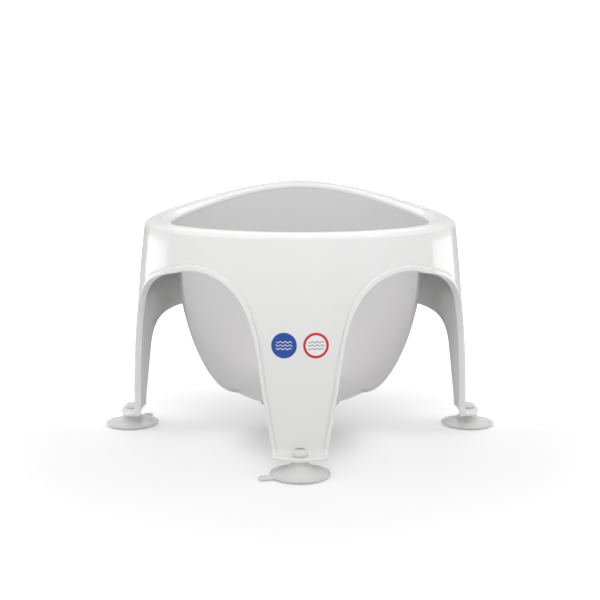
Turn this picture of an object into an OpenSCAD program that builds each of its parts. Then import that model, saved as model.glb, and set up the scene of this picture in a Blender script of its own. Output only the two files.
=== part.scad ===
// Baby bath seat: a white moulded ring on four legs, a soft grey bucket seat
// hung inside it, and a suction cup with a pull tab under each foot.
// Millimetres. The origin is on the floor at the middle of the ring, +Z is up,
// -Y is the front, where the bather's legs go out on both sides of the front leg.

/* [Ring wall] */
// Thickness of the moulded wall
wall_t = 3.2; // [2.4:0.1:4.5]
// Radius of the arc by which the wall leans inwards towards the rim
lean_r = 1400; // [900:50:4000]

/* [Rim] */
// Radius of the round opening that the seat hangs in
opening_r = 122.5; // [100:0.5:150]
// Width of the inner flange between the opening and the crest, at the front
flange_w = 12.4; // [9:0.1:16]
// How far the flange slopes down from the crest to the opening
flange_drop = 4; // [2:0.5:8]
// Depth of the small step between the crest and the flange
step_h = 1.4; // [0.6:0.1:1.8]
// Width of the rounded shoulder between the wall and the crest
shoulder_w = 13.5; // [8:0.5:16]
// Height of the rounded shoulder
shoulder_h = 6; // [4:0.5:9]
// Height of the rim's crest at the front
rim_h = 200; // [180:1:230]
// How much the crest climbs evenly from the front to the back
rim_tilt = 8.5; // [0:0.5:15]
// How much higher the crest sweeps up at the back
rim_rise = 26.3; // [0:0.1:50]
// How late the crest starts to sweep up on its way to the back
rim_sweep = 4.75; // [2:0.05:6]

/* [Arches] */
// Height of the band of wall and rim over the two front arches
front_band = 34; // [26:0.5:60]
// Height of the two back arches
back_arch_h = 107.5; // [95:0.5:130]
// Height at which the legs' straight sides turn into the arches
spring_h = 71; // [60:1:85]
// How far a leg reaches sideways at that height, where it meets a front arch
front_side_w = 32.5; // [27:0.5:40]
// How far a leg reaches sideways at that height, where it meets a back arch
back_side_w = 38.6; // [32:0.1:46]
// Width of a leg at its foot
foot_w = 47.7; // [38:0.1:58]
// Width of the raised bead along the sides of the legs
bead_w = 4; // [2.5:0.1:5]
// Width of the bead along the arches
arch_bead_w = 5.6; // [4:0.1:7]
// How far the bead stands out of the wall's face
bead_out = 1.2; // [0.5:0.1:2]
// How far the bead stands into the ring behind the wall
bead_in = 2; // [1:0.1:3]

/* [Feet] */
// Height of the top face of a foot's shelf
shelf_h = 16.9; // [14:0.1:24]
// How far the shelf reaches past the knob
shelf_lip = 3.5; // [2:0.1:6]
// Radius of the shelf's rounded end, seen from above
shelf_end_r = 38; // [30:1:60]
// Radius of the bend from the leg's face into the shelf
bend_r = 5; // [4:0.1:7]

/* [Suction cups] */
// How far a cup's axis lies out from the leg's face
cup_out = 5.4; // [4.5:0.1:7]
// Radius of a suction cup
cup_r = 25.4; // [20:0.2:32]
// Height of the cup's bell above the floor
bell_h = 7.6; // [6:0.2:9.5]
// Thickness of the bell at its rim
rim_t = 1.6; // [1:0.1:2.4]
// Width of the flat ring that seals on the floor
seal_w = 2.2; // [1.2:0.1:4]
// Radius of the neck between the bell and the shelf
neck_r = 7.2; // [6:0.1:9]
// Radius of the stud that passes through the shelf
stud_r = 4; // [3:0.1:5]
// Radius of the knob that holds the cup to the shelf
knob_r = 6.5; // [5.5:0.1:8]
// Height of the knob above the shelf
knob_h = 4.8; // [3:0.1:6]
// Length of the pull tab beyond the cup's edge
tab_l = 11.5; // [6:0.5:16]
// Width of the pull tab
tab_w = 9; // [6:0.5:12]
// Thickness of the pull tab
tab_t = 2; // [1.5:0.1:3]
// Clearance around a cup's stud and knob
cup_gap = 0.3; // [0.2:0.05:0.5]

/* [Seat] */
// Thickness of the soft seat
seat_t = 3.2; // [2.6:0.1:5]
// How much narrower the bucket is at the bather's hips than the opening
hip_in = 5; // [3:0.5:12]
// How far the hips lie below the crest at the front
hip_drop = 50; // [40:1:70]
// Radius of the flat floor of the bucket
floor_r = 57; // [45:1:70]
// Height of the underside of the bucket's floor
floor_h = 31; // [24:1:45]
// How far the leg openings cut into the round floor
floor_cut = 4.4; // [1:0.1:8]
// Radius of the long curve of the floor's edge along a leg opening
floor_edge_r = 145; // [90:1:250]
// Direction in which that edge faces, away from straight ahead
floor_edge_turn = 58; // [50:1:66]
// Width of a leg opening
leg_hole_w = 104; // [84:1:124]
// How far a leg opening is shifted towards the back
leg_hole_shift = 2.4; // [0:0.1:5]
// Height of the seat and rim above a leg opening
leg_hole_band = 32; // [26:1:50]
// Radius of a leg opening's two upper corners
leg_hole_corner = 22; // [12:1:30]
// Direction of a leg opening, away from straight ahead
leg_hole_turn = 42; // [38:1:48]
// Radius of a drain hole in the floor
drain_r = 5; // [3:0.5:7]
// Radius of the circle of drain holes
drain_ring_r = 30; // [20:1:40]
// Drain holes on that circle
drain_count = 6; // [3:1:8]
// Height of the seat's upright top edge at the front, above its flare
neck_h = 16; // [8:1:22]
// Clearance between the seat and the ring
seat_gap = 0.2; // [0.1:0.05:0.5]

/* [Hidden] */
white = "white";
soft_grey = [0.76, 0.77, 0.78];
clear_grey = [0.72, 0.73, 0.75];

// Directions of the legs, and of the pull tabs as they lie
front = -90;
right = 0;
back = 90;
left = 180;
tab_front = 202;
tab_right = 88;
tab_back = 250;
tab_left = 70;

// Round bodies
$fn = 96;

// A cubic curve through four control points
function curve(p, t) = pow(1 - t, 3) * p[0] + 3 * t * pow(1 - t, 2) * p[1]
                     + 3 * t * t * (1 - t) * p[2] + pow(t, 3) * p[3];
function mix(a, b, t) = a + (b - a) * t;

// Outer radius of the legs at their feet: the wall leans out from the rim
leg_r = opening_r + flange_w + shoulder_w + pow(rim_h - shoulder_h - shelf_h, 2) / (2 * lean_r);
// Outer radius of the ring's wall at a height
function wall_r(z) = leg_r - pow(max(z - shelf_h, 0), 2) / (2 * lean_r);
// Height of the crest in the direction az, and of the shoulder's foot
function crest_h(az) = let (t = (1 + sin(az)) / 2)
    rim_h + rim_tilt * t + rim_rise * pow(t, rim_sweep);
function shoulder_z(az) = crest_h(az) - shoulder_h;
function crest_r(az) = wall_r(shoulder_z(az)) - shoulder_w;

// The cups' circle, and the end of the shelves that they are fixed to
cup_ring_r = leg_r + cup_out;
shelf_r = cup_ring_r + knob_r + shelf_lip;
shelf_low = shelf_h - wall_t;

// The ring's wall, legs and shelves are one bent sheet. A place on its outer
// face is an angle from the middle of the leg and a path length from the end
// of the shelf: out on the shelf, round the bend, then up the wall.
shelf_run = shelf_r - leg_r - bend_r;
bend_run = bend_r * PI / 2;
wall_run = shelf_run + bend_run;
function path_at(z) = wall_run + z - shelf_h - bend_r;
// Radius and height at path length q, n out of the sheet's outer face
function sheet(q, n) =
    q < shelf_run ? [shelf_r - q, shelf_h + n] :
    q < wall_run ? let (a = (q - shelf_run) / bend_r * 180 / PI)
        [leg_r + bend_r - (bend_r - n) * sin(a), shelf_h + bend_r - (bend_r - n) * cos(a)] :
    let (z = shelf_h + bend_r + q - wall_run) [wall_r(z) + n, z];
// Depth of the sheet's inner face behind its outer one: under the bend the two
// inner faces meet in a square corner
function depth(q) = let (a = (q - shelf_run) / bend_run * 90)
    a > 0 && a < 90 ? (bend_r + wall_t) / max(sin(a), cos(a)) - bend_r : wall_t;

// Edge of a leg and its arch, as [angle, path length], for column j of COLUMNS:
// round the shelf's end, round the bend, up the leg's side and along the arch
COLUMNS = 20;
SHELF_COLUMNS = 5;
EDGE_START = 9;
// Angle that a half-width w takes up at radius r
function half_angle(w, r) = asin(w / r);
function on_shelf(x, y) = [atan2(y, x), shelf_r - norm([x, y])];
shelf_half = foot_w * 0.495;
round_half = shelf_half * 0.91;
function shelf_end(y) = shelf_r - shelf_end_r + sqrt(shelf_end_r * shelf_end_r - y * y);
shelf_side = leg_r + bend_r;
foot_edge = half_angle(foot_w / 2, leg_r);
front_edge = half_angle(front_side_w, leg_r);
back_edge = half_angle(back_side_w, leg_r);
front_arch_h = rim_h - front_band;
front_arch = [[front_edge, spring_h], [15.6, mix(spring_h, front_arch_h, 0.75)],
              [19.5, front_arch_h], [45, front_arch_h]];
back_arch = [[back_edge, spring_h], [15.9, mix(spring_h, back_arch_h, 0.63)],
             [22, back_arch_h - bead_out / 2], [45, back_arch_h]];
// Share of the way from a leg's foot width to its width at the arch, halfway up
front_swell = 0.49;
back_swell = 0.56;
function edge(j, arch) =
    j < 4 ? let (y = round_half * [0, 0.4, 0.75, 1][j]) on_shelf(shelf_end(y), y) :
    j == 4 ? on_shelf(mix(shelf_end(round_half), shelf_side, 0.4),
                      mix(round_half, shelf_half, 0.7)) :
    j == 5 ? [half_angle(shelf_half, shelf_side), shelf_run] :
    j == 6 ? [half_angle(foot_w / 2, mix(shelf_side, leg_r, 0.7)), shelf_run + bend_run / 2] :
    j == 7 ? [foot_edge, wall_run] :
    j == 8 ? [mix(foot_edge, arch[0][0], arch == back_arch ? back_swell : front_swell),
              path_at(mix(shelf_h + bend_r, spring_h, 0.49))] :
    let (p = curve(arch, (j - EDGE_START) / (COLUMNS - EDGE_START))) [p[0], path_at(p[1])];
// Direction at the rim that column j runs up to
function column_top(j) = 45 * pow(j / COLUMNS, 1.25);

// The bead's section: distance in from the edge, and height out of the face.
// On the shelf the bead fades away to a plain rounded edge.
function bead_size(j) = j <= SHELF_COLUMNS ? 0 : j == SHELF_COLUMNS + 1 ? 0.5 : 1;
function bead_width(j) = mix(bead_w, arch_bead_w, min(1, max(0, (j - EDGE_START) / 5)));
edge_soft = wall_t * 0.32;
function bead_outside(k, w) = [
    [0, -wall_t / 2],
    [0, k * bead_out - edge_soft],
    [edge_soft, k * bead_out],
    [w - bead_out * 0.7, k * bead_out],
    [w, 0]];
function bead_inside(k, w) = [
    [w + edge_soft, 0],
    [w, -k * bead_in],
    [edge_soft, -k * bead_in],
    [0, edge_soft - k * bead_in]];

// A step of d millimetres into the sheet from the edge at column j
function step_in(j, arch, d) =
    let (here = edge(j, arch),
         before = edge(max(j - 1, 0), arch),
         after = edge(min(j + 1, COLUMNS), arch),
         radius = sheet(here[1], 0)[0],
         mm = PI / 180 * radius,
         side = j == 0 || j == COLUMNS ? [1, 0]
              : [(after[0] - before[0]) * mm, after[1] - before[1]],
         size = norm(side))
    [here[0] - side[1] / size * d / mm, here[1] + side[0] / size * d];

// Shares of the way up from the bead to the shoulder at which the wall has rows
wall_rows = [0.16, 0.34, 0.54, 0.77];
// The rows of a column that starts on the shelf, at fixed path lengths
foot_rows = [shelf_run, shelf_run + bend_run / 2, wall_run,
             mix(wall_run, path_at(front_arch_h), 0.5)];

// Point of the frame at angle a from leg direction az, side s, radius r, height z
function place(az, s, a, r, z) = [r * cos(az + s * a), r * sin(az + s * a), z];
function on_sheet(az, s, aq, n) = let (p = sheet(aq[1], n)) place(az, s, aq[0], p[0], p[1]);
function behind_sheet(az, s, aq, n) = on_sheet(az, s, aq, n - depth(aq[1]));

function wall_place(az, s, j, arch, i) =
    let (from = step_in(j, arch, bead_width(j) + edge_soft),
         top = column_top(j),
         reach = path_at(shoulder_z(az + s * top)),
         q = j <= SHELF_COLUMNS ? max(foot_rows[i], from[1] + (i + 1) * edge_soft / 2)
                                : mix(from[1], reach, wall_rows[i]),
         share = (q - from[1]) / (reach - from[1]))
    [mix(from[0], top, share), q];

// Section of the rim from the shoulder's foot over the crest to the opening,
// and back along the underside, in the direction az
function rim_outside(az) =
    let (z0 = shoulder_z(az), rc = crest_r(az), zc = crest_h(az))
    concat([for (a = [0 : 22.5 : 90]) [rc + shoulder_w * cos(a), z0 + shoulder_h * sin(a)]],
           [[rc - step_h * 0.8, zc - step_h * 0.1],
            [rc - step_h * 1.7, zc - step_h],
            [opening_r + wall_t * 0.4, zc - flange_drop * 0.9],
            [opening_r, zc - flange_drop - wall_t * 0.3]]);
function rim_inside(az) =
    let (z0 = shoulder_z(az), rc = crest_r(az), zc = crest_h(az),
         w = shoulder_w - wall_t, low = flange_drop + wall_t)
    concat([[opening_r, zc - low * 0.92],
            [opening_r + wall_t * 0.3, zc - low],
            [mix(rc, opening_r, 0.3), zc - low]],
           [for (a = [90 : -30 : 0])
                [rc + w * cos(a), z0 - flange_drop + (shoulder_h + flange_drop - wall_t) * sin(a)]]);

// One closed section of the frame: up the outside, over the rim, down the inside
function frame_section(az, s, j, arch) =
    let (k = bead_size(j), w = bead_width(j), top = az + s * column_top(j))
    concat([for (b = bead_outside(k, w)) on_sheet(az, s, step_in(j, arch, b[0]), b[1])],
           [for (i = [0 : 3]) on_sheet(az, s, wall_place(az, s, j, arch, i), 0)],
           [for (p = rim_outside(top)) place(top, 1, 0, p[0], p[1])],
           [for (p = rim_inside(top)) place(top, 1, 0, p[0], p[1])],
           [for (i = [3 : -1 : 0]) behind_sheet(az, s, wall_place(az, s, j, arch, i), 0)],
           [for (b = bead_inside(k, w)) behind_sheet(az, s, step_in(j, arch, b[0]), b[1])]);

// Sections all round the ring, leg by leg: down to each leg, then away from it
function arch_between(az, s) = sin(az + s * 45) < 0 ? front_arch : back_arch;
frame_sections = [
    for (az = [front, right, back, left])
        each concat(
            [for (j = [COLUMNS - 1 : -1 : 1]) frame_section(az, -1, j, arch_between(az, -1))],
            [for (j = [0 : COLUMNS]) frame_section(az, 1, j, arch_between(az, 1))])];

// A closed solid through a ring of closed sections
module ring_loft(sections) {
    rings = len(sections);
    size = len(sections[0]);
    polyhedron(
        points = [for (section = sections) each section],
        faces = [for (r = [0 : rings - 1], i = [0 : size - 1])
                 let (a = r * size, b = (r + 1) % rings * size, k = (i + 1) % size)
                 each [[a + i, b + k, b + i], [a + i, a + k, b + k]]],
        convexity = 12);
}

module at_foot(az) {
    translate([cup_ring_r * cos(az), cup_ring_r * sin(az), 0]) children();
}

// The white ring with its four legs and feet, moulded in one piece
module frame() {
    color(white)
    difference() {
        ring_loft(frame_sections);
        for (az = [front, right, back, left]) at_foot(az) {
            // Hole for the cup's stud, and the niche its knob sits in
            translate([0, 0, shelf_low - wall_t])
                cylinder(r = stud_r + cup_gap, h = 3 * wall_t);
            translate([0, 0, shelf_h])
                cylinder(r = knob_r + 2 * cup_gap, h = knob_h + 3 * cup_gap);
        }
    }
}

// The seat's outer profile, from the floor up to the hips and out to the rim
hip_r = opening_r - hip_in;
hip_h = rim_h - hip_drop;
seat_rim_r = opening_r + seat_t;
function seat_top(az) = crest_h(az) - flange_drop - wall_t - seat_gap;
bucket = [[floor_r, floor_h],
          [mix(floor_r, hip_r, 0.58), mix(floor_h, hip_h, 0.034)],
          [mix(floor_r, hip_r, 0.934), mix(floor_h, hip_h, 0.58)],
          [hip_r, hip_h]];
BUCKET_STEPS = 12;
flare_steps = [0.25, 0.5, 0.75, 1];
flare_top = seat_top(front) - neck_h;
function flare(t) = [mix(hip_r, seat_rim_r, t * t * (3 - 2 * t)), mix(hip_h, flare_top, t)];
function slope(p, q) = (q - p) / norm(q - p);
bucket_outside = concat([for (i = [0 : BUCKET_STEPS]) curve(bucket, i / BUCKET_STEPS)],
                        [for (t = flare_steps) flare(t)],
                        [[seat_rim_r, seat_top(back) + seat_t]]);
// The inner face lies seat_t inside the outer one, square to it
function inward(list, i) =
    let (d = slope(list[max(i - 1, 0)], list[min(i + 1, len(list) - 1)]))
    list[i] + seat_t * [-d[1], d[0]];
bucket_inside = [for (i = [0 : len(bucket_outside) - 1]) inward(bucket_outside, i)];

module bucket_body() {
    rotate_extrude()
        polygon(concat(
            [[0, floor_h]],
            bucket_outside,
            [for (i = [len(bucket_inside) - 1 : -1 : 1]) bucket_inside[i]],
            [[floor_r - seat_t / 3, floor_h + seat_t], [0, floor_h + seat_t]]));
}

// Everything above the seat's top edge, which follows the ring's crest
EDGE_STEPS = 30;
module above_seat() {
    reach = seat_rim_r + seat_t;
    translate([-reach, 0, 0])
        rotate([90, 0, 90])
        linear_extrude(2 * reach)
        polygon(concat(
            [[-reach, crest_h(back) + hip_drop]],
            [for (i = [0 : EDGE_STEPS])
                let (y = mix(-reach, reach, i / EDGE_STEPS),
                     az = asin(max(-1, min(1, y / seat_rim_r))))
                [y, seat_top(az)]],
            [[reach, crest_h(back) + hip_drop]]));
}

// Outline of a leg opening, seen from outside along its direction: the tongue
// between both openings on one side, the bucket's flank on the other, and a
// round-cornered top. Places are shares of its width and of its height.
leg_hole_top = rim_h - leg_hole_band;
function in_hole(u, z) = [leg_hole_shift + (u - 0.5) * leg_hole_w, mix(floor_h, leg_hole_top, z)];
tongue = [in_hole(0.477, -0.03), in_hole(0.342, 0.03), in_hole(0.16, 0.11), in_hole(0.083, 0.394)];
flank = [in_hole(0.996, 0.504), in_hole(0.987, 0.226), in_hole(0.89, 0.11), in_hole(0.852, -0.03)];
HOLE_STEPS = 8;
module leg_hole() {
    corner = leg_hole_corner;
    difference() {
        rotate([90, 0, leg_hole_turn])
            linear_extrude(2 * hip_r)
            polygon(concat(
                [for (i = [0 : HOLE_STEPS]) curve(tongue, i / HOLE_STEPS)],
                [for (a = [180 : -15 : 90]) in_hole(0, 1) + corner * [1 + cos(a), sin(a) - 1]],
                [for (a = [90 : -15 : 0]) in_hole(1, 1) + corner * [cos(a) - 1, sin(a) - 1]],
                [for (i = [0 : HOLE_STEPS]) curve(flank, i / HOLE_STEPS)]));
        // The floor stays, up to its own edge
        rotate([0, 0, floor_edge_turn])
            translate([0, floor_edge_r - floor_r + floor_cut, 0])
            cylinder(r = floor_edge_r, h = hip_h);
    }
}

module seat() {
    color(soft_grey)
    difference() {
        bucket_body();
        above_seat();
        leg_hole();
        mirror([1, 0, 0]) leg_hole();
        for (i = [0 : drain_count])
            rotate([0, 0, i * 360 / drain_count])
            translate([i == drain_count ? 0 : drain_ring_r, 0, floor_h - seat_t])
            cylinder(r = drain_r, h = 3 * seat_t);
    }
}

// One suction cup with its neck, stud, knob and pull tab, moulded in one piece
module suction_cup(az, tab_az) {
    edge_r = rim_t / 2;
    color(clear_grey)
    at_foot(az)
    union() {
        rotate_extrude()
            polygon([
                [0, rim_t * 1.9], [cup_r * 0.45, rim_t * 1.5], [cup_r - seal_w - edge_r, 0],
                [cup_r - edge_r, 0], [cup_r, edge_r], [cup_r, rim_t],
                [cup_r * 0.93, mix(rim_t, bell_h, 0.16)], [cup_r * 0.8, mix(rim_t, bell_h, 0.4)],
                [cup_r * 0.62, mix(rim_t, bell_h, 0.68)], [cup_r * 0.46, mix(rim_t, bell_h, 0.9)],
                [neck_r * 1.2, bell_h], [neck_r, mix(bell_h, shelf_low, 0.25)],
                [neck_r, shelf_low - cup_gap], [stud_r, shelf_low - cup_gap],
                [stud_r, shelf_h + cup_gap], [knob_r, shelf_h + cup_gap],
                [knob_r, shelf_h + knob_h * 0.4], [knob_r * 0.94, shelf_h + knob_h * 0.62],
                [knob_r * 0.82, shelf_h + knob_h * 0.82], [knob_r * 0.62, shelf_h + knob_h * 0.94],
                [0, shelf_h + knob_h]]);
        rotate([0, 0, tab_az])
            translate([cup_r - seal_w, 0, tab_t * 0.2])
            linear_extrude(tab_t)
            union() {
                translate([0, -tab_w / 2]) square([tab_l + seal_w - tab_w / 2, tab_w]);
                translate([tab_l + seal_w - tab_w / 2, 0]) circle(d = tab_w);
            }
    }
}

module suction_cup_front() { suction_cup(front, tab_front); }
module suction_cup_right() { suction_cup(right, tab_right); }
module suction_cup_back() { suction_cup(back, tab_back); }
module suction_cup_left() { suction_cup(left, tab_left); }

frame();
seat();
suction_cup_front();
suction_cup_right();
suction_cup_back();
suction_cup_left();
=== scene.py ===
import math

import bmesh
import bpy
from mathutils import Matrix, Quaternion, Vector


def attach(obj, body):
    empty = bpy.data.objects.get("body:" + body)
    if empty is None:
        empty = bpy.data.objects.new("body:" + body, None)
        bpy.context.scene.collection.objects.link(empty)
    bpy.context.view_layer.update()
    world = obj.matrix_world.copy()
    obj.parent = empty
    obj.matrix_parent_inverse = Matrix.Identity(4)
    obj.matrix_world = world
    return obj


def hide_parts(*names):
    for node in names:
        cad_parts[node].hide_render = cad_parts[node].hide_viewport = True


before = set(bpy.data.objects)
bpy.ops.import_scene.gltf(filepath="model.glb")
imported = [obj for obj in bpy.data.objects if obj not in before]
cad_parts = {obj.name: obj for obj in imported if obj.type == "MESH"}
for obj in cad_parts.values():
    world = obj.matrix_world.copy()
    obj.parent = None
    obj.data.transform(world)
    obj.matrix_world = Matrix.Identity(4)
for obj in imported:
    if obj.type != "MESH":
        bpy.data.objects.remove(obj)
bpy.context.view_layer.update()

# Sizes in millimetres, those of the moulded solids except for the edge of the
# seat's floor and the cup's gap. -Y is the front, +Z is up.
LEG_R = 159.6
LEAN_R = 1400.0
WALL = 3.2
RIM_H = 200.0
RIM_TILT = 8.5
RIM_RISE = 26.3
RIM_SWEEP = 4.75
SHOULDER_W = 13.5
SHOULDER_H = 6.0
OPENING_R = 122.5
FLANGE_DROP = 4.0
SPRING_H = 71.0
BEAD_W = 4.0
ARCH_BEAD_W = 5.6
BEAD_OUT = 1.2
BEAD_IN = 2.0
SHELF_H = 16.9
SHELF_LOW = SHELF_H - WALL
SHELF_R = 175.0
SHELF_HALF = 23.6
SHELF_END_R = 38.0
SHELF_END_HALF = 21.5
BEND_R = 5.0
CUP_RING_R = 165.0
CUP_R = 25.4
NECK_R = 7.2
STUD_R = 4.0
KNOB_R = 6.5
KNOB_H = 4.8
CUP_GAP = 0.35
STUD_GAP = 0.3
TAB_L = 11.5
TAB_ROOT = 3.0
TAB_W = 9.0
TAB_T = 2.0
TAB_LOW = 0.4
FLOOR_R = 57.0
FLOOR_H = 31.0
FLOOR_CUT = 5.5
FLOOR_EDGE_R = 176.0
FLOOR_EDGE_TURN = 52.0
DRAIN_R = 5.0
DRAIN_RING_R = 30.0
SEAT_T = 3.2
SEAT_GAP = 0.2
SEAT_NECK_H = 16.0
HIP_R = 117.5
HIP_H = 150.0
LEG_HOLE_TURN = 42.0
LEG_HOLE_TOP = 168.0
LEG_HOLE_CORNER = 22.0
LEG_HOLE_BACK = 54.4
LEG_HOLE_FRONT = -49.6

FRONT, RIGHT, BACK, LEFT = -90.0, 0.0, 90.0, 180.0


def cos(degrees):
    return math.cos(math.radians(degrees))


def sin(degrees):
    return math.sin(math.radians(degrees))


def mix(a, b, t):
    return a + (b - a) * t


def smooth(t):
    t = max(0.0, min(1.0, t))
    return t * t * (3 - 2 * t)


def bezier(points, t):
    """Point at t on the curve with these control points."""
    points = [tuple(p) for p in points]
    while len(points) > 1:
        points = [tuple(mix(a, b, t) for a, b in zip(p, q)) for p, q in zip(points, points[1:])]
    return points[0]


# Camera at the photograph's place, first of all

def make_camera():
    data = bpy.data.cameras.new("studio_camera")
    data.sensor_width = 36.0
    data.lens = 62.46
    camera = bpy.data.objects.new("studio_camera", data)
    camera.location = (0.0, -1.0, 0.26738)
    camera.rotation_euler = (math.pi / 2 - 0.1429, 0.0, 0.0)
    bpy.context.scene.collection.objects.link(camera)
    bpy.context.scene.camera = camera


make_camera()


# Mesh making

def new_piece(name, points, faces):
    """A smooth closed mesh piece from points in millimetres."""
    mesh = bpy.data.meshes.new(name)
    mesh.from_pydata([tuple(v / 1000 for v in p) for p in points], [], faces)
    work = bmesh.new()
    work.from_mesh(mesh)
    bmesh.ops.remove_doubles(work, verts=work.verts, dist=1e-6)
    bmesh.ops.dissolve_degenerate(work, edges=work.edges, dist=1e-7)
    bmesh.ops.recalc_face_normals(work, faces=work.faces)
    work.to_mesh(mesh)
    work.free()
    piece = bpy.data.objects.new(name, mesh)
    bpy.context.scene.collection.objects.link(piece)
    return piece


def shade(piece, crease=38.0):
    """Smooth shading, with edges sharper than crease degrees kept crisp."""
    mesh = piece.data
    mesh.polygons.foreach_set("use_smooth", [True] * len(mesh.polygons))
    mesh.set_sharp_from_angle(angle=math.radians(crease))


def ring_of_sections(sections):
    """Points and faces of a closed skin through a ring of closed sections."""
    size = len(sections[0])
    count = len(sections)
    points = [p for section in sections for p in section]
    faces = []
    for r in range(count):
        a = r * size
        b = (r + 1) % count * size
        for i in range(size):
            k = (i + 1) % size
            faces.append((a + i, b + i, b + k, a + k))
    return points, faces


def round_faces(steps, size):
    """Faces between open rows of this size that go once round."""
    faces = []
    for i in range(steps):
        a = i * size
        b = (i + 1) % steps * size
        for k in range(size - 1):
            faces.append((a + k, b + k, b + k + 1, a + k + 1))
    return faces


def turned(profile, centre, steps):
    """Points and faces of a profile [(r, z)] turned round a vertical axis. The
    start lies 0.37 of a step off the axes, away from the grid that it cuts."""
    points = []
    for i in range(steps):
        az = 360 * (i + 0.37) / steps
        for r, z in profile:
            points.append((centre[0] + r * cos(az), centre[1] + r * sin(az), z))
    return points, round_faces(steps, len(profile))


def together(parts):
    """One mesh's points and faces from several that don't touch."""
    points = []
    faces = []
    for some_points, some_faces in parts:
        shift = len(points)
        points += some_points
        faces += [tuple(shift + v for v in face) for face in some_faces]
    return points, faces


def combine(piece, other, operation):
    """Cuts the other mesh out of the piece, or joins it to it, and removes it."""
    step = piece.modifiers.new("combine", "BOOLEAN")
    step.operation = operation
    step.solver = "EXACT"
    step.object = other
    bpy.context.view_layer.update()
    graph = bpy.context.evaluated_depsgraph_get()
    mesh = bpy.data.meshes.new_from_object(piece.evaluated_get(graph))
    mesh.name = piece.name
    piece.modifiers.clear()
    piece.data = mesh
    bpy.data.objects.remove(other)


# The white frame: one bent sheet, the same surface as the moulded solid

SHELF_RUN = SHELF_R - LEG_R - BEND_R
WALL_RUN = SHELF_RUN + math.radians(90) * BEND_R


def wall_radius(z):
    """Radius of the wall's outer face at height z."""
    return LEG_R - max(z - SHELF_H, 0.0) ** 2 / (2 * LEAN_R)


def crest_height(az):
    """Height of the rim's crest, which climbs to the back."""
    t = (1 + sin(az)) / 2
    return RIM_H + RIM_TILT * t + RIM_RISE * t ** RIM_SWEEP


def path_at(z):
    """Path length along the sheet from the shelf's end up to height z."""
    return WALL_RUN + z - SHELF_H - BEND_R


def sheet(q, n):
    """Radius and height at path length q from the shelf's end, n out of the face."""
    if q < SHELF_RUN:
        return SHELF_R - q, SHELF_H + n
    if q < WALL_RUN:
        a = math.degrees((q - SHELF_RUN) / BEND_R)
        if n <= -WALL:
            # the inner face has a square corner at the bend, not a round one
            n += WALL + BEND_R - (BEND_R + WALL) / max(sin(a), cos(a))
        return (LEG_R + BEND_R - (BEND_R - n) * sin(a),
                SHELF_H + BEND_R - (BEND_R - n) * cos(a))
    z = SHELF_H + BEND_R + q - WALL_RUN
    return wall_radius(z) + n, z


def half_angle(w, r):
    """Degrees that a half width w takes up at radius r."""
    return math.degrees(math.asin(w / r))


# Curves of (degrees from the leg's middle, height): up a leg's edge, then along
# half an arch. A front arch is highest on the front leg's side of its middle.
FOOT_EDGE = 8.6
FRONT_EDGE = 11.75
BACK_EDGE = 14.0
LEG_EDGE_FRONT = [(FOOT_EDGE, SHELF_H + BEND_R), (10.1, 46.0), (FRONT_EDGE, SPRING_H)]
LEG_EDGE_BACK = [(FOOT_EDGE, SHELF_H + BEND_R), (11.9, 45.0), (BACK_EDGE, SPRING_H)]
ARCH_FRONT = [(FRONT_EDGE, SPRING_H), (15.0, 140.0), (17.5, 142.9), (26.5, 176.3), (45.0, 162.4)]
ARCH_SIDE = [(FRONT_EDGE, SPRING_H), (14.5, 136.0), (22.5, 154.0), (45.0, 162.4)]
ARCH_BACK = [(BACK_EDGE, SPRING_H), (15.9, 94.0), (22.0, 107.0), (45.0, 107.5)]


def edge_columns(leg_edge, arch):
    """The edge of half a leg and half an arch, as angle, path length, bead share
    and bead width: round the shelf's end, up the leg's side and along the arch."""
    columns = []

    def on_shelf(x, y, share):
        columns.append((math.degrees(math.atan2(y, x)), SHELF_R - math.hypot(x, y), share, BEAD_W))

    def shelf_end(y):
        return SHELF_R - SHELF_END_R + math.sqrt(SHELF_END_R ** 2 - y ** 2)

    for i in range(12):
        y = SHELF_END_HALF * i / 12
        on_shelf(shelf_end(y), y, 0.0)
    corner = [(shelf_end(SHELF_END_HALF), SHELF_END_HALF),
              (167.2, SHELF_HALF - 0.4), (LEG_R + BEND_R + 0.2, SHELF_HALF)]
    for i in range(6):
        x, y = bezier(corner, i / 6)
        on_shelf(x, y, 0.0)
    for i in range(8):
        t = i / 8
        q = mix(SHELF_RUN, WALL_RUN, t)
        a = mix(half_angle(SHELF_HALF, LEG_R + BEND_R), FOOT_EDGE, t)
        columns.append((a, q, smooth(t), BEAD_W))
    for i in range(14):
        a, z = bezier(leg_edge, i / 14)
        columns.append((a, path_at(z), 1.0, BEAD_W))
    for i in range(37):
        t = i / 36
        a, z = bezier(arch, t)
        columns.append((a, path_at(z), 1.0, mix(BEAD_W, ARCH_BEAD_W, smooth(t * 1.6))))
    return columns


# The wall's own rows start this far in from the bead's foot
WALL_START = 1.0
# How much of the inner bead is left along the back arches
BACK_BEAD_SHARE = 0.15


def bead_outside(share, width):
    """The bead's outer half, as (distance in from the edge, height out of the
    face): a rounded edge, a flat top, a steep step and a shallow groove."""
    out = share * BEAD_OUT
    rounding = [(1.1 - 1.1 * cos(a), out - 1.1 + 1.1 * sin(a)) for a in (0, 22, 45, 68, 90)]
    low = -share * mix(0.55, 0.12, (width - BEAD_W) / (ARCH_BEAD_W - BEAD_W))
    step = [(width - 0.8, out), (width - 0.65, out * 0.93), (width - 0.5, out * 0.5),
            (width - 0.35, low * 0.6), (width - 0.15, low), (width + 0.3, low),
            (width + 0.5, low * 0.5), (width + 0.65, 0.0)]
    return [(0.0, -WALL / 2)] + rounding + [(width * 0.45, out)] + step


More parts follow.
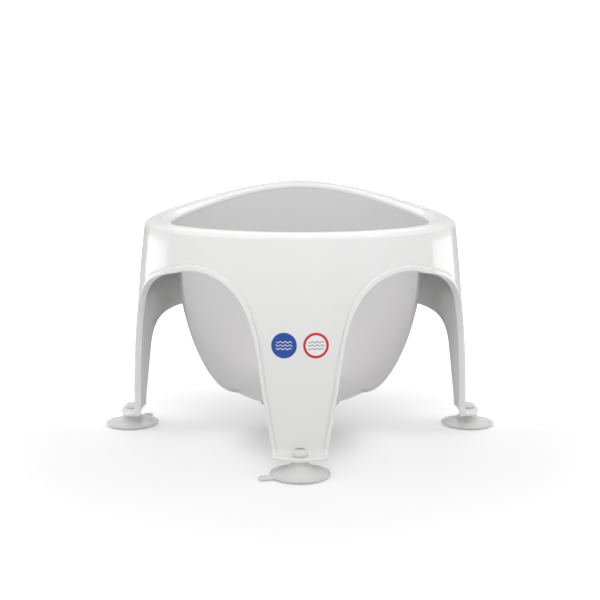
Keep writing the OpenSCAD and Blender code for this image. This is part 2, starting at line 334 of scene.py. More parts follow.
def bead_inside(share, width):
    """The bead's inner half, from the wall's inner face back to the edge."""
    back = -WALL - share * BEAD_IN
    rounding = [(1.2 - 1.2 * cos(a), back + 1.2 - 1.2 * sin(a)) for a in (90, 60, 30, 0)]
    return [(width + WALL_START, -WALL), (width - 0.3, -WALL - share * BEAD_IN * 0.5),
            (width - 1.2, back), (width * 0.5, back)] + rounding


# The wall's rows in 210 parts of its height: one part apart up to 24, then wider
WALL_PARTS = 210
EVEN_PARTS = 24
WALL_STEPS = [float(i) for i in range(1, EVEN_PARTS + 1)]
WALL_STEPS += [mix(EVEN_PARTS, WALL_PARTS, (i / 16) ** 1.25) for i in range(1, 16)]


def wall_rows(step):
    """Shares of the way up from the bead to the shoulder, close together at first."""
    return [v / WALL_PARTS for v in WALL_STEPS[step - 1::step]]


def rim_outside(az):
    """Section (r, z) from the shoulder's foot over the crest to the opening."""
    top = crest_height(az)
    foot = top - SHOULDER_H
    crest_r = wall_radius(foot) - SHOULDER_W
    section = [(crest_r + SHOULDER_W * cos(a), foot + SHOULDER_H * sin(a))
               for a in (0, 5, 11, 18, 26, 35, 45, 56, 68, 80, 90)]
    section += [(crest_r - 0.8, top - 0.05), (crest_r - 1.2, top - 0.3), (crest_r - 1.45, top - 0.9),
                (crest_r - 1.6, top - 1.5), (crest_r - 1.9, top - 1.7), (crest_r - 2.6, top - 1.75)]
    inner = crest_r - 2.6
    drop = FLANGE_DROP - 0.4
    for t in (0.3, 0.6, 0.85):
        section.append((mix(inner, OPENING_R + 1.4, t), top - mix(1.75, drop, t)))
    section += [(OPENING_R + 1.4, top - drop), (OPENING_R + 0.7, top - drop - 0.25),
                (OPENING_R + 0.2, top - drop - 0.75), (OPENING_R, top - drop - 1.4)]
    return section


def rim_inside(az):
    """Section (r, z) back from the opening under the flange to the inner wall."""
    top = crest_height(az)
    foot = top - SHOULDER_H
    crest_r = wall_radius(foot) - SHOULDER_W
    low = top - FLANGE_DROP - WALL
    width = SHOULDER_W - WALL
    section = [(OPENING_R, low + 0.15), (OPENING_R + 0.15, low), (OPENING_R + 5, low)]
    rise = SHOULDER_H - WALL + FLANGE_DROP
    for a in (90, 70, 50, 30, 10, 0):
        section.append((crest_r + width * cos(a), foot - FLANGE_DROP + rise * sin(a)))
    return section


def frame_sections():
    """Sections all round the ring, leg by leg: down to each leg, then away."""
    sections = []
    for az in (FRONT, RIGHT, BACK, LEFT):
        for side in (-1, 1):
            if az == FRONT:
                columns = edge_columns(LEG_EDGE_FRONT, ARCH_FRONT)
            elif sin(az + side * 45) < 0:
                columns = edge_columns(LEG_EDGE_FRONT, ARCH_SIDE)
            else:
                columns = edge_columns(LEG_EDGE_BACK, ARCH_BACK)
            half = [frame_section(az, side, columns, j) for j in range(len(columns))]
            if side < 0:
                sections += half[:0:-1]
            else:
                sections += half[:-1]
    return sections


def frame_section(az, side, columns, j):
    """One closed section: up the outside, over the rim and down the inside."""
    last = len(columns) - 1
    angle, q, share, width = columns[j]
    before = columns[max(j - 1, 0)]
    after = columns[min(j + 1, last)]
    mm = math.radians(1) * sheet(q, 0)[0]
    if j in (0, last):
        along = (1.0, 0.0)
    else:
        along = ((after[0] - before[0]) * mm, after[1] - before[1])
    size = math.hypot(*along)
    top = 45 * (j / last) ** 1.5
    top_az = az + side * top

    def place(a, r, z):
        return r * cos(az + side * a), r * sin(az + side * a), z

    def inward(d):
        return angle - along[1] / size * d / mm, q + along[0] / size * d

    def lip(d, n):
        a, path = inward(d)
        return place(a, *sheet(path, n))

    start_a, start_q = inward(width + WALL_START)
    reach = path_at(crest_height(top_az) - SHOULDER_H)

    def wall(t, n):
        return place(mix(start_a, top, t), *sheet(mix(start_q, reach, t), n))

    section = [lip(d, n) for d, n in bead_outside(share, width)]
    section += [wall(t, 0.0) for t in wall_rows(1)]
    section += [(r * cos(top_az), r * sin(top_az), z) for r, z in rim_outside(top_az)]
    section += [(r * cos(top_az), r * sin(top_az), z) for r, z in rim_inside(top_az)]
    section += [wall(t, -WALL) for t in reversed(wall_rows(2))]
    inside = share if sin(az + side * 45) < 0 else share * BACK_BEAD_SHARE
    section += [lip(d, n) for d, n in bead_inside(inside, width)]
    return section


def foot_cutter(az):
    """The stud's hole and the niche behind the knob, as one turned cutter."""
    low = 9.0
    floor = SHELF_H + 0.02
    top = SHELF_H + KNOB_H + 0.9
    hole_r = STUD_R + STUD_GAP
    niche_r = KNOB_R + 0.6
    profile = [(0, low), (hole_r, low), (hole_r, floor), (niche_r, floor), (niche_r, top - 2.6),
               (niche_r - 0.7, top - 1.2), (niche_r - 2.2, top - 0.3), (0, top)]
    centre = (CUP_RING_R * cos(az), CUP_RING_R * sin(az))
    return turned(profile, centre, 48)


def make_frame():
    piece = new_piece("moulded_frame", *ring_of_sections(frame_sections()))
    cutters = together([foot_cutter(az) for az in (FRONT, RIGHT, BACK, LEFT)])
    combine(piece, new_piece("foot_cutters", *cutters), "DIFFERENCE")
    shade(piece)
    return piece


moulded_frame = make_frame()


# The soft seat: a bucket turned to one profile, with two leg openings

# Steps of the bucket's profile along its floor, and from there up to the hip
FLOOR_STEPS = 12
SIDE_STEPS = 40


def bucket_profile():
    """The outer profile as [(r, z)], from the floor's middle up to the rim."""
    curve = [(FLOOR_R, FLOOR_H), (FLOOR_R + 35, FLOOR_H + 4), (HIP_R - 4, HIP_H - 50), (HIP_R, HIP_H)]
    profile = [(FLOOR_R * i / FLOOR_STEPS, FLOOR_H) for i in range(FLOOR_STEPS)]
    profile += [bezier(curve, i / SIDE_STEPS) for i in range(SIDE_STEPS + 1)]
    rim_r = OPENING_R + SEAT_T
    flare_top = RIM_H - FLANGE_DROP - WALL - SEAT_GAP - SEAT_NECK_H
    above_rim = 245.0
    for i in range(1, 13):
        t = i / 12
        profile.append((mix(HIP_R, rim_r, smooth(t)), mix(HIP_H, flare_top, t)))
    profile += [(rim_r, mix(flare_top, above_rim, i / 16)) for i in range(1, 17)]
    return profile


BUCKET = bucket_profile()
BUCKET_PATH = [0.0]
for one, two in zip(BUCKET, BUCKET[1:]):
    BUCKET_PATH.append(BUCKET_PATH[-1] + math.dist(one, two))


def bucket_at(p, n):
    """Radius and height at path length p from the floor's middle, n inwards."""
    p = max(0.0, min(BUCKET_PATH[-1] - 1e-6, p))
    i = max(k for k in range(len(BUCKET_PATH) - 1) if BUCKET_PATH[k] <= p)
    t = (p - BUCKET_PATH[i]) / (BUCKET_PATH[i + 1] - BUCKET_PATH[i])

    def slope(k):
        a = BUCKET[max(k - 1, 0)]
        b = BUCKET[min(k + 1, len(BUCKET) - 1)]
        size = math.dist(a, b)
        return (b[0] - a[0]) / size, (b[1] - a[1]) / size

    one, two = slope(i), slope(i + 1)
    d = (mix(one[0], two[0], t), mix(one[1], two[1], t))
    r = mix(BUCKET[i][0], BUCKET[i + 1][0], t)
    z = mix(BUCKET[i][1], BUCKET[i + 1][1], t)
    return r - n * d[1], z + n * d[0]


def bucket_path_at(z):
    """Path length at which the outer profile is at height z, above its floor."""
    for i in range(FLOOR_STEPS, len(BUCKET) - 1):
        if BUCKET[i][1] <= z <= BUCKET[i + 1][1]:
            t = (z - BUCKET[i][1]) / (BUCKET[i + 1][1] - BUCKET[i][1])
            return mix(BUCKET_PATH[i], BUCKET_PATH[i + 1], t)
    return BUCKET_PATH[FLOOR_STEPS]


def seat_top_path(az):
    """Path length of the seat's top edge, just under the ring's flange."""
    return bucket_path_at(crest_height(az) - FLANGE_DROP - WALL - SEAT_GAP)


def floor_edge(az):
    """Path length at which the floor ends in a direction, along its curved edge."""
    back = FLOOR_EDGE_R - FLOOR_R + FLOOR_CUT
    along = back * cos(az - 90 - FLOOR_EDGE_TURN)
    r = along + math.sqrt(along ** 2 - back ** 2 + FLOOR_EDGE_R ** 2)
    if r <= FLOOR_R:
        return r
    i = max(k for k in range(FLOOR_STEPS, FLOOR_STEPS + SIDE_STEPS) if BUCKET[k][0] <= r)
    t = (r - BUCKET[i][0]) / (BUCKET[i + 1][0] - BUCKET[i][0])
    return mix(BUCKET_PATH[i], BUCKET_PATH[i + 1], t)


def hole_point(u, z):
    """Direction and path length of a place u along and z up the leg opening."""
    az = -90 + LEG_HOLE_TURN
    for _ in range(8):
        p = max(floor_edge(az), bucket_path_at(z) if z > FLOOR_H else 0.0)
        az = -90 + LEG_HOLE_TURN + half_angle(u, bucket_at(p, 0)[0])
    return az, p


def leg_hole_outline(count):
    """The right leg opening's edge as evenly spaced (direction, path length)."""
    rear = [(54.0, 100.0), (50.0, 82.0), (45.0, 60.0), (44.5, 27.0)]
    tongue = [(0.0, 27.0), (-14.0, 35.0), (-33.0, 46.0), (-41.0, 85.0)]
    corner = LEG_HOLE_CORNER
    shoulder = LEG_HOLE_TOP - corner
    points = [(LEG_HOLE_BACK - corner + corner * cos(a), shoulder + corner * sin(a))
              for a in range(90, -1, -15)]
    points += [(mix(LEG_HOLE_BACK, 54.0, i / 8), mix(shoulder, 100, i / 8)) for i in range(1, 8)]
    points += [bezier(rear, i / 24) for i in range(25)]
    points += [(mix(44.5, 0, i / 12), 27.0) for i in range(1, 12)]
    points += [bezier(tongue, i / 24) for i in range(25)]
    points += [(mix(-41, LEG_HOLE_FRONT, i / 8), mix(85, shoulder, i / 8)) for i in range(1, 8)]
    points += [(LEG_HOLE_FRONT + corner + corner * cos(a), shoulder + corner * sin(a))
               for a in range(180, 89, -15)]
    spaced = respaced([hole_point(u, z) for u, z in points], count)
    for _ in range(4):
        trios = [(spaced[i - 1], spaced[i], spaced[(i + 1) % count]) for i in range(count)]
        spaced = [tuple((a + 2 * b + c) / 4 for a, b, c in zip(*trio)) for trio in trios]
    return spaced


def flat_distance(one, two):
    """Distance on the bucket between two places (direction, path length)."""
    r = (bucket_at(one[1], 0)[0] + bucket_at(two[1], 0)[0]) / 2
    return math.hypot(math.radians(two[0] - one[0]) * r, two[1] - one[1])


def respaced(outline, count):
    """Evenly spaced points on a closed outline of (direction, path length)."""
    closed = outline + outline[:1]
    lengths = [0.0]
    for one, two in zip(closed, closed[1:]):
        lengths.append(lengths[-1] + flat_distance(one, two))
    spaced = []
    i = 0
    for k in range(count):
        target = lengths[-1] * k / count
        while lengths[i + 1] < target:
            i += 1
        t = (target - lengths[i]) / max(lengths[i + 1] - lengths[i], 1e-9)
        spaced.append(tuple(mix(a, b, t) for a, b in zip(closed[i], closed[i + 1])))
    return spaced


# Places on the leg opening's edge, and how far round the half bucket's border the
# skin runs from there: 0 to 1 along the top edge from front to back, to 2 down the
# back's middle line, to 3 at the floor's middle, to 4 up the front's middle line
BORDER_KEYS = [
    (32.4, 168.0, 0.66), (54.2, 140.0, 0.93), (54.0, 110.0, 1.15), (48.0, 72.0, 1.5),
    (44.8, 44.0, 1.85), (42.0, 27.0, 2.4), (0.0, 27.0, 2.75), (-25.0, 46.6, 3.12),
    (-41.0, 85.0, 3.42), (-49.6, 140.0, 3.82), (-27.6, 168.0, 4.15)]


def border_at(s):
    """The place (direction, path length) this far round the half bucket's border."""
    s = s % 4
    if s < 1:
        return -90 + 180 * s, seat_top_path(-90 + 180 * s)
    if s < 2:
        return 90.0, seat_top_path(90) * (2 - s)
    if s < 3:
        return 90 - 180 * (s - 2), 0.0
    return -90.0, seat_top_path(-90) * (s - 3)


def border_points(outline):
    """The border point that each point of the leg opening's edge runs to."""
    count = len(outline)

    def nearest(u, z):
        a, p = hole_point(u, z)
        return min(range(count), key=lambda i: math.hypot(2 * (outline[i][0] - a), outline[i][1] - p))

    keys = sorted((nearest(u, z), s) for u, z, s in BORDER_KEYS)
    first = keys[0]
    keys.append((first[0] + count, first[1] + 4))
    places = {}
    for (i, s), (k, t) in zip(keys, keys[1:]):
        for n in range(i, k):
            places[n % count] = mix(s, t, (n - i) / (k - i)) - (4 if n >= count else 0)
    places = [places[n] for n in range(count)]
    for _ in range(8):
        places = [(2 * places[n] + (places[n - 1] if n else places[-1] - 4)
                   + (places[n + 1] if n < count - 1 else places[0] + 4)) / 4 for n in range(count)]
    for corner in (1.0, 2.0, 3.0, 4.0):
        n = min(range(count), key=lambda i: abs(places[i] - corner))
        places[n] = corner
    return [border_at(s) for s in places]


# Shares of the way from a leg opening's edge to the border, close together at first
SEAT_STEPS = [0.0, 0.006, 0.014, 0.024] + [0.024 + 0.976 * (i / 30) ** 1.3 for i in range(1, 31)]
# Thickness of the seat's edge round a leg opening, and how far it tapers
EDGE_T = 1.3
EDGE_TAPER = 7.0


def on_top(place):
    """Whether a place (direction, path length) lies on the seat's top edge."""
    return abs(place[1] - seat_top_path(place[0])) < 1e-6


def seat_columns(count):
    """Lines of (direction, path length, depth) for the right half: along the inner
    face to the leg opening, round its thin edge and back along the outer face."""
    outline = leg_hole_outline(count)
    borders = border_points(outline)
    round_r = EDGE_T / 2
    start_in = round_r + 0.6
    columns = []
    for i in range(count):
        before = outline[i - 1]
        after = outline[(i + 1) % count]
        a, p = outline[i]
        mm = math.radians(1) * bucket_at(p, 0)[0]
        along = ((after[0] - before[0]) * mm, after[1] - before[1])
        size = math.hypot(*along)
        out = (-along[1] / size, along[0] / size)
        edge = []
        for turn in (90, 65, 40, 15, -15, -40, -65, -90):
            d = round_r - round_r * cos(turn)
            n = round_r - round_r * sin(turn)
            edge.append((a + out[0] * d / mm, p + out[1] * d, n))
        start = (a + out[0] * start_in / mm, p + out[1] * start_in)
        rows = [tuple(mix(u, v, t) for u, v in zip(start, borders[i])) for t in SEAT_STEPS]
        depths = [mix(EDGE_T, SEAT_T, smooth((flat_distance(start, row) + 0.6) / EDGE_TAPER))
                  for row in rows]
        inner = [(*row, n) for row, n in zip(reversed(rows), reversed(depths))]
        outer = [(*row, 0.0) for row in rows]
        columns.append(inner + edge[::-1] + outer)
    return columns


def make_seat():
    count = 240
    columns = seat_columns(count)
    points = []
    for column in columns:
        for a, p, n in column:
            r, z = bucket_at(p, n)
            points.append((r * cos(a), r * sin(a), z))
    size = len(columns[0])
    faces = []
    ends = [columns[i][-1][:2] for i in range(count)]
    for i in range(count):
        a = i * size
        b = (i + 1) % count * size
        for k in range(size - 1):
            faces.append((a + k, b + k, b + k + 1, a + k + 1))
        if on_top(ends[i]) and on_top(ends[(i + 1) % count]):
            faces.append((a + size - 1, b + size - 1, b, a))
    mirrored = [(-x, y, z) for x, y, z in points]
    shift = len(points)
    points += mirrored
    faces += [tuple(shift + v for v in reversed(face)) for face in faces]
    piece = new_piece("soft_seat", points, faces)
    drains = [(0.0, 0.0)]
    drains += [(DRAIN_RING_R * cos(60 * i), DRAIN_RING_R * sin(60 * i)) for i in range(6)]
    low, high = FLOOR_H - 2, FLOOR_H + SEAT_T + 2
    profile = [(0, low), (DRAIN_R, low), (DRAIN_R, high), (0, high)]
    cutters = together([turned(profile, centre, 32) for centre in drains])
    combine(piece, new_piece("drains", *cutters), "DIFFERENCE")
    shade(piece)
    return piece


soft_seat = make_seat()


# Suction cups: bell, neck, stud and knob turned in one, with a pull tab

def arc(centre, radius, start, end, steps):
    """Points of an arc in a (r, z) profile, from start to end degrees."""
    return [(centre[0] + radius * cos(mix(start, end, i / steps)),
             centre[1] + radius * sin(mix(start, end, i / steps))) for i in range(steps + 1)]


def cup_profile():
    """The cup's profile (r, z), from under the bell out to its lip and up to the
    top of the knob. The lip stands clear of the floor outside the sealing ring."""
    bell = [(CUP_R - 1.1, 2.3), (18.0, 3.9), (9.8, 6.6), (NECK_R, 11.2)]
    profile = [(0, 3.0), (8, 2.7), (15, 1.6), (18, 0.6), (CUP_R - 5.4, 0.0), (CUP_R - 4.2, 0.0),
               (CUP_R - 3.9, 0.15), (CUP_R - 3.6, 1.2), (CUP_R - 0.9, 1.35)]
    profile += arc((CUP_R - 0.6, 1.95), 0.6, -90, 95, 6)
    profile += [bezier(bell, i / 18) for i in range(19)]
    neck_top = SHELF_LOW - CUP_GAP
    profile += [(NECK_R, 12.4), (NECK_R - 0.2, 13.1), (NECK_R - 0.6, neck_top), (STUD_R, neck_top)]
    profile += [(STUD_R, SHELF_H + CUP_GAP), (KNOB_R - 0.5, SHELF_H + CUP_GAP)]
    profile += [(KNOB_R - 0.1, SHELF_H + 0.5), (KNOB_R, SHELF_H + 0.9)]
    profile += [(KNOB_R * (1 - t ** 3) ** 0.4, SHELF_H + mix(1.2, KNOB_H, t))
                for t in (0.15, 0.3, 0.45, 0.6, 0.72, 0.82, 0.9, 0.96, 0.99, 1.0)]
    return profile


def rounded_tab(length, width, thick, low):
    """A flat tab along +X with a round end and softened edges, as sections."""
    half = width / 2
    end = [(length - half + half * cos(a), half * sin(a)) for a in range(90, -91, -10)]
    outline = [(0.0, half)] + end + [(0.0, -half)]
    layers = [(0.5, 0.0), (0.15, 0.15), (0.0, 0.5), (0.0, thick - 0.5), (0.15, thick - 0.15), (0.5, thick)]
    rings = []
    for inset, z in layers:
        ring = []
        for x, y in outline:
            middle = min(x, length - half)
            dx, dy = x - middle, y
            size = max(math.hypot(dx, dy), 1e-6)
            ring.append((middle + dx * (size - inset) / size, dy * (size - inset) / size, low + z))
        rings.append(ring)
    points = [p for ring in rings for p in ring]
    n = len(outline)
    faces = [tuple(range(n - 1, -1, -1)), tuple(range((len(rings) - 1) * n, len(rings) * n))]
    for r in range(len(rings) - 1):
        for i in range(n):
            k = (i + 1) % n
            faces.append((r * n + i, r * n + k, (r + 1) * n + k, (r + 1) * n + i))
    return points, faces


def make_cup(name, az, tab_az):
    centre = (CUP_RING_R * cos(az), CUP_RING_R * sin(az))
    piece = new_piece(name, *turned(cup_profile(), centre, 96))
    points, faces = rounded_tab(TAB_ROOT + TAB_L, TAB_W, TAB_T, TAB_LOW)
    placed = []
    for x, y, z in points:
        x += CUP_R - TAB_ROOT
        placed.append((centre[0] + x * cos(tab_az) - y * sin(tab_az),
                       centre[1] + x * sin(tab_az) + y * cos(tab_az), z))
    combine(piece, new_piece("tab", placed, faces), "UNION")
    shade(piece, 50.0)
    return piece


cups = {
    "suction_cup_front": make_cup("soft_cup_front", FRONT, 202.0),
    "suction_cup_right": make_cup("soft_cup_right", RIGHT, 88.0),
    "suction_cup_back": make_cup("soft_cup_back", BACK, 250.0),
    "suction_cup_left": make_cup("soft_cup_left", LEFT, 70.0),
}


# Two round prints on the front of the ring: thin discs that follow the wall

PRINT_R = 10.6
PRINT_Z = 108.0
PRINT_X = 13.2
PRINT_T = 0.10


def make_print(name, x0):
    rings = 14
    steps = 72
    rows = [(PRINT_R * i / rings, PRINT_T) for i in range(rings + 1)]
    rows += [(PRINT_R * i / rings, 0.0) for i in range(rings, -1, -1)]
    points = []
    for i in range(steps):
        for rho, n in rows:
            x = x0 + rho * cos(360 * i / steps)
            z = PRINT_Z + rho * sin(360 * i / steps)
            r = wall_radius(z) + n + 0.02
            points.append((x, -math.sqrt(r * r - x * x), z))
    piece = new_piece(name, points, round_faces(steps, len(rows)))
    shade(piece)
    return piece


blue_print = make_print("blue_wave_print", -PRINT_X)
red_print = make_print("red_ring_print", PRINT_X)


# Materials

def linear(hex_colour):
    """Linear colour from an sRGB hex value."""
    parts = [int(hex_colour[i:i + 2], 16) / 255 for i in (1, 3, 5)]
    return tuple(v / 12.92 if v <= 0.04045 else ((v + 0.055) / 1.055) ** 2.4 for v in parts) + (1.0,)


def add(tree, kind, inputs=None, **settings):
    """A new node with its settings, and its inputs set or linked."""
    node = tree.nodes.new(kind)
    for key, value in settings.items():
        setattr(node, key, value)
    for key, value in (inputs or {}).items():
        if isinstance(value, bpy.types.NodeSocket):
            tree.links.new(value, node.inputs[key])
        else:
            node.inputs[key].default_value = value
    return node


def start_material(name):
    material = bpy.data.materials.new(name)
    material.use_nodes = True
    material.node_tree.nodes.clear()
    return material, material.node_tree


def end_material(tree, surface):
    add(tree, "ShaderNodeOutputMaterial", {"Surface": surface})


def gloss_polypropylene():
    """White polypropylene from a polished mould: bright even gloss, with the faint
    slow waviness of a moulded sheet and barely visible flow clouding."""
    material, tree = start_material("gloss_polypropylene")
    place = add(tree, "ShaderNodeTexCoord").outputs["Object"]
    cloud = add(tree, "ShaderNodeTexNoise", {"Vector": place, "Scale": 22.0, "Detail": 2.0})
    colour = add(tree, "ShaderNodeMix", {"Factor": cloud.outputs["Fac"], "A": linear("#F0EFEF"),
                                         "B": linear("#EDEDEC")}, data_type="RGBA")
    ripple = add(tree, "ShaderNodeTexNoise", {"Vector": place, "Scale": 60.0, "Detail": 1.0})
    bump = add(tree, "ShaderNodeBump", {
        "Height": ripple.outputs["Fac"], "Strength": 0.02, "Distance": 0.0006})
    shader = add(tree, "ShaderNodeBsdfPrincipled", {
        "Base Color": colour.outputs["Result"], "Roughness": 0.1, "IOR": 1.49,
        "Normal": bump.outputs["Normal"]})
    end_material(tree, shader.outputs["BSDF"])
    return material


def soft_touch_elastomer():
    """Light grey elastomer from an eroded mould: matt and slightly velvety, with a
    fine grain drawn at 0.8 mm."""
    material, tree = start_material("soft_touch_elastomer")
    place = add(tree, "ShaderNodeTexCoord").outputs["Object"]
    grain = add(tree, "ShaderNodeTexNoise", {"Vector": place, "Scale": 1250.0, "Detail": 2.0})
    cloud = add(tree, "ShaderNodeTexNoise", {"Vector": place, "Scale": 30.0, "Detail": 2.0})
    colour = add(tree, "ShaderNodeMix", {"Factor": cloud.outputs["Fac"], "A": linear("#DEDDDD"),
                                         "B": linear("#DBDADA")}, data_type="RGBA")
    bump = add(tree, "ShaderNodeBump", {
        "Height": grain.outputs["Fac"], "Strength": 0.12, "Distance": 0.0003})
    shader = add(tree, "ShaderNodeBsdfPrincipled", {
        "Base Color": colour.outputs["Result"], "Roughness": 0.62, "IOR": 1.46,
        "Sheen Weight": 0.08, "Sheen Roughness": 0.5, "Normal": bump.outputs["Normal"]})
    end_material(tree, shader.outputs["BSDF"])
    return material


def soft_vinyl():
    """Clear greyish soft vinyl: milky and glossy, and a little see-through."""
    material, tree = start_material("soft_vinyl")
    place = add(tree, "ShaderNodeTexCoord").outputs["Object"]
    cloud = add(tree, "ShaderNodeTexNoise", {"Vector": place, "Scale": 90.0, "Detail": 2.0})
    colour = add(tree, "ShaderNodeMix", {"Factor": cloud.outputs["Fac"], "A": linear("#F2F1F1"),
                                         "B": linear("#EDEDEC")}, data_type="RGBA")
    bump = add(tree, "ShaderNodeBump", {
        "Height": cloud.outputs["Fac"], "Strength": 0.04, "Distance": 0.0006})
    shader = add(tree, "ShaderNodeBsdfPrincipled", {
        "Base Color": colour.outputs["Result"], "Roughness": 0.12, "IOR": 1.5,
        "Transmission Weight": 0.15, "Normal": bump.outputs["Normal"]})
    end_material(tree, shader.outputs["BSDF"])
    return material


def math_node(tree, operation, *values):
    return add(tree, "ShaderNodeMath", dict(enumerate(values)), operation=operation).outputs[0]


# The prints' drawing, in metres: where the ring starts, how far out and up the
# waves reach, their turn for 4 mm waves, their lift, half thickness and half spacing
RING_START = 0.0085
WAVES_R = 0.0070
WAVES_UP = 0.0040
WAVE_TURN = 1570.0
WAVE_LIFT = 0.0006
WAVE_HALF = 0.00032
WAVE_GAP = 0.0014


def pad_print(name, ground, ring, waves, x0):
    """Pad-printed ink, satin over the gloss: a coloured ring round a ground with
    three rows of little waves, 4 mm long and about 0.6 mm thick."""
    material, tree = start_material(name)
    place = add(tree, "ShaderNodeTexCoord").outputs["Object"]
    parts = add(tree, "ShaderNodeSeparateXYZ", {"Vector": place})
    x = math_node(tree, "SUBTRACT", parts.outputs["X"], x0 / 1000)
    z = math_node(tree, "SUBTRACT", parts.outputs["Z"], PRINT_Z / 1000)
    rho = math_node(tree, "SQRT", math_node(tree, "ADD", math_node(tree, "MULTIPLY", x, x),
                                            math_node(tree, "MULTIPLY", z, z)))
    in_ring = math_node(tree, "GREATER_THAN", rho, RING_START)
    swing = math_node(tree, "SINE", math_node(tree, "MULTIPLY", x, WAVE_TURN))
    lift = math_node(tree, "MULTIPLY", swing, WAVE_LIFT)
    height = math_node(tree, "SUBTRACT", z, lift)
    row = math_node(tree, "PINGPONG", height, WAVE_GAP)
    on_wave = math_node(tree, "LESS_THAN", row, WAVE_HALF)
    low = math_node(tree, "LESS_THAN", math_node(tree, "ABSOLUTE", height), WAVES_UP)
    within = math_node(tree, "LESS_THAN", rho, WAVES_R)
    wave = math_node(tree, "MULTIPLY", on_wave, math_node(tree, "MULTIPLY", low, within))
    ground_colour = add(tree, "ShaderNodeMix", {"Factor": wave, "A": linear(ground), "B": linear(waves)},
                        data_type="RGBA")
    colour = add(tree, "ShaderNodeMix", {"Factor": in_ring, "A": ground_colour.outputs["Result"],
                                         "B": linear(ring)}, data_type="RGBA")
    shader = add(tree, "ShaderNodeBsdfPrincipled", {
        "Base Color": colour.outputs["Result"], "Roughness": 0.3, "IOR": 1.49})
    end_material(tree, shader.outputs["BSDF"])
    return material


def give(piece, material):
    piece.data.materials.clear()
    piece.data.materials.append(material)


give(moulded_frame, gloss_polypropylene())
give(soft_seat, soft_touch_elastomer())
vinyl = soft_vinyl()
for cup in cups.values():
    give(cup, vinyl)
give(blue_print, pad_print("blue_pad_print", "#1F4FA3", "#1F4FA3", "#F2F4F8", -PRINT_X))
give(red_print, pad_print("red_pad_print", "#F3F3F4", "#D22630", "#3A3C40", PRINT_X))


# Each piece stands for its solid

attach(moulded_frame, "root")
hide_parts("frame")
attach(soft_seat, "root")
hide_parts("seat")
for node, cup in cups.items():
    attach(cup, "root")
    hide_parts(node)
for piece in (blue_print, red_print):
    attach(piece, "root")


# Studio: white floor and background, low panels and soft boxes at both sides,
# and one soft box each above, behind and in front

def seen_directly(tree):
    """1 for rays from the camera and rays that came through a piece, 0 for others."""
    path = add(tree, "ShaderNodeLightPath")
    return math_node(tree, "MAXIMUM", path.outputs["Is Camera Ray"], path.outputs["Is Transmission Ray"])


def ramp(tree, value, start, end, low, high):
    """A smooth change from low to high while the value goes from start to end."""
    inputs = {"Value": value, "From Min": start, "From Max": end, "To Min": low, "To Max": high}
    return add(tree, "ShaderNodeMapRange", inputs, interpolation_type="SMOOTHSTEP").outputs["Result"]


def make_floor():
    """A floor that takes the shadow, with a glow of its own for the camera: white
    far out, and lower under and in front of the seat, which paints a soft shade there over the real shadow."""
    mesh = bpy.data.meshes.new("studio_floor")
    mesh.from_pydata([(-6, -4, 0), (6, -4, 0), (6, 8, 0), (-6, 8, 0)], [], [(0, 1, 2, 3)])
    floor = bpy.data.objects.new("studio_floor", mesh)
    floor.location = (0, 0, -0.0001)
    bpy.context.scene.collection.objects.link(floor)
    material, tree = start_material("studio_floor")
    place = add(tree, "ShaderNodeTexCoord").outputs["Object"]
    away = add(tree, "ShaderNodeVectorMath", {0: place}, operation="LENGTH").outputs["Value"]
    back = add(tree, "ShaderNodeSeparateXYZ", {"Vector": place}).outputs["Y"]
    # The glow is lower to the front and dips round a point in front of the seat: painted shade on the floor,
    # added to the real shadow
    painted_shade_middle = (0, -0.06, 0)
    from_painted_shade = add(tree, "ShaderNodeVectorMath", {0: place, 1: painted_shade_middle}, operation="DISTANCE")
    painted_shade_front = ramp(tree, back, -0.035, 0.04, 0.26, 0.42)
    painted_shade_dip = ramp(tree, from_painted_shade.outputs["Value"], 0.03, 0.08, -0.1, 0.0)
    far_out = ramp(tree, away, 0.2, 0.8, 0.0, 0.9)
    strength = math_node(tree, "ADD", painted_shade_front, math_node(tree, "ADD", painted_shade_dip, far_out))
    strength = math_node(tree, "MULTIPLY", seen_directly(tree), strength)
    diffuse = add(tree, "ShaderNodeBsdfDiffuse", {"Color": linear("#E4E4E4")})
    glow = add(tree, "ShaderNodeEmission", {"Color": (1, 1, 1, 1), "Strength": strength})
    both = add(tree, "ShaderNodeAddShader", {0: diffuse.outputs[0], 1: glow.outputs[0]})
    end_material(tree, both.outputs[0])
    mesh.materials.append(material)


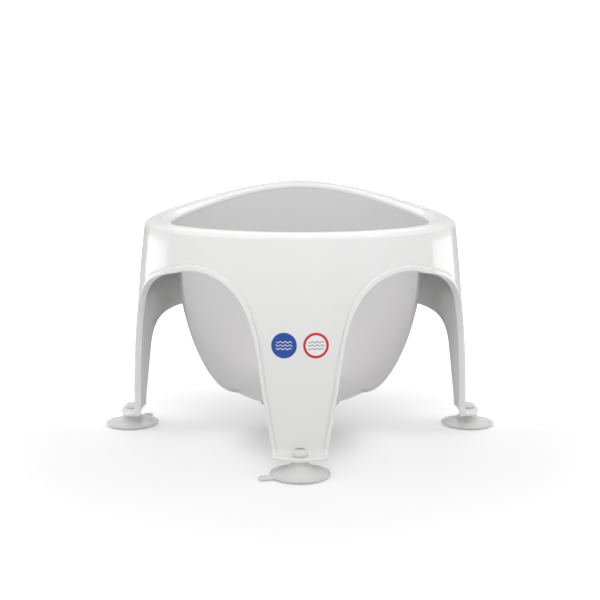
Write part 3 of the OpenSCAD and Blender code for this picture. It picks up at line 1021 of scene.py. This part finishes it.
def make_world():
    """Even white light, shown as pure white to the camera."""
    world = bpy.data.worlds.new("studio_world")
    bpy.context.scene.world = world
    world.use_nodes = True
    tree = world.node_tree
    tree.nodes.clear()
    strength = add(tree, "ShaderNodeMix", {"Factor": seen_directly(tree), "A": 0.665, "B": 1.0},
                   data_type="FLOAT")
    back = add(tree, "ShaderNodeBackground", {"Color": (1, 1, 1, 1), "Strength": strength.outputs["Result"]})
    add(tree, "ShaderNodeOutputWorld", {"Surface": back.outputs[0]})


def softbox(name, place, aim, width, height, watts, roll=0.0, mirrored=True, spread=180.0):
    """A flat light that faces its aim, rolled and spread in degrees. One that isn't
    mirrored lights the pieces without showing in their gloss."""
    data = bpy.data.lights.new(name, "AREA")
    data.shape = "RECTANGLE"
    data.size = width
    data.size_y = height
    data.energy = watts
    data.spread = math.radians(spread)
    lamp = bpy.data.objects.new(name, data)
    lamp.location = place
    direction = Vector(aim) - Vector(place)
    turn = direction.to_track_quat("-Z", "Y") @ Quaternion((0, 0, 1), math.radians(roll))
    lamp.rotation_euler = turn.to_euler()
    lamp.visible_glossy = mirrored
    bpy.context.scene.collection.objects.link(lamp)


def make_lights():
    for name, side in (("left", -1), ("right", 1)):
        place = (side * 1.142, 0.62, 0.09)
        softbox("low_panel_" + name, place, (0, 0, 0.09), 0.76, 0.24, 1.15, roll=-side * 5.7)
        softbox("side_softbox_" + name, (side * 1.2, 0.0, 1.3), (0, 0, 0.15), 1.0, 1.4, 2.2)
        low = (side * 1.15, -0.95, 0.18)
        softbox("softbox_low_" + name, low, (-side * 0.15, 0, 0.07), 0.5, 0.3, 0.95, mirrored=False)
    softbox("softbox_above", (0.0, 0.1, 1.7), (0, 0.1, 0), 1.6, 1.6, 2.0)
    softbox("softbox_behind", (0.0, 1.5, 1.4), (0, 0, 0.15), 1.4, 0.9, 3.0)
    softbox("softbox_front", (0.0, -0.62, 0.72), (0, -0.15, 0.29), 0.45, 0.2, 0.2, mirrored=False,
            spread=50.0)


make_floor()
make_world()
make_lights()
bpy.context.scene.view_settings.view_transform = "Standard"
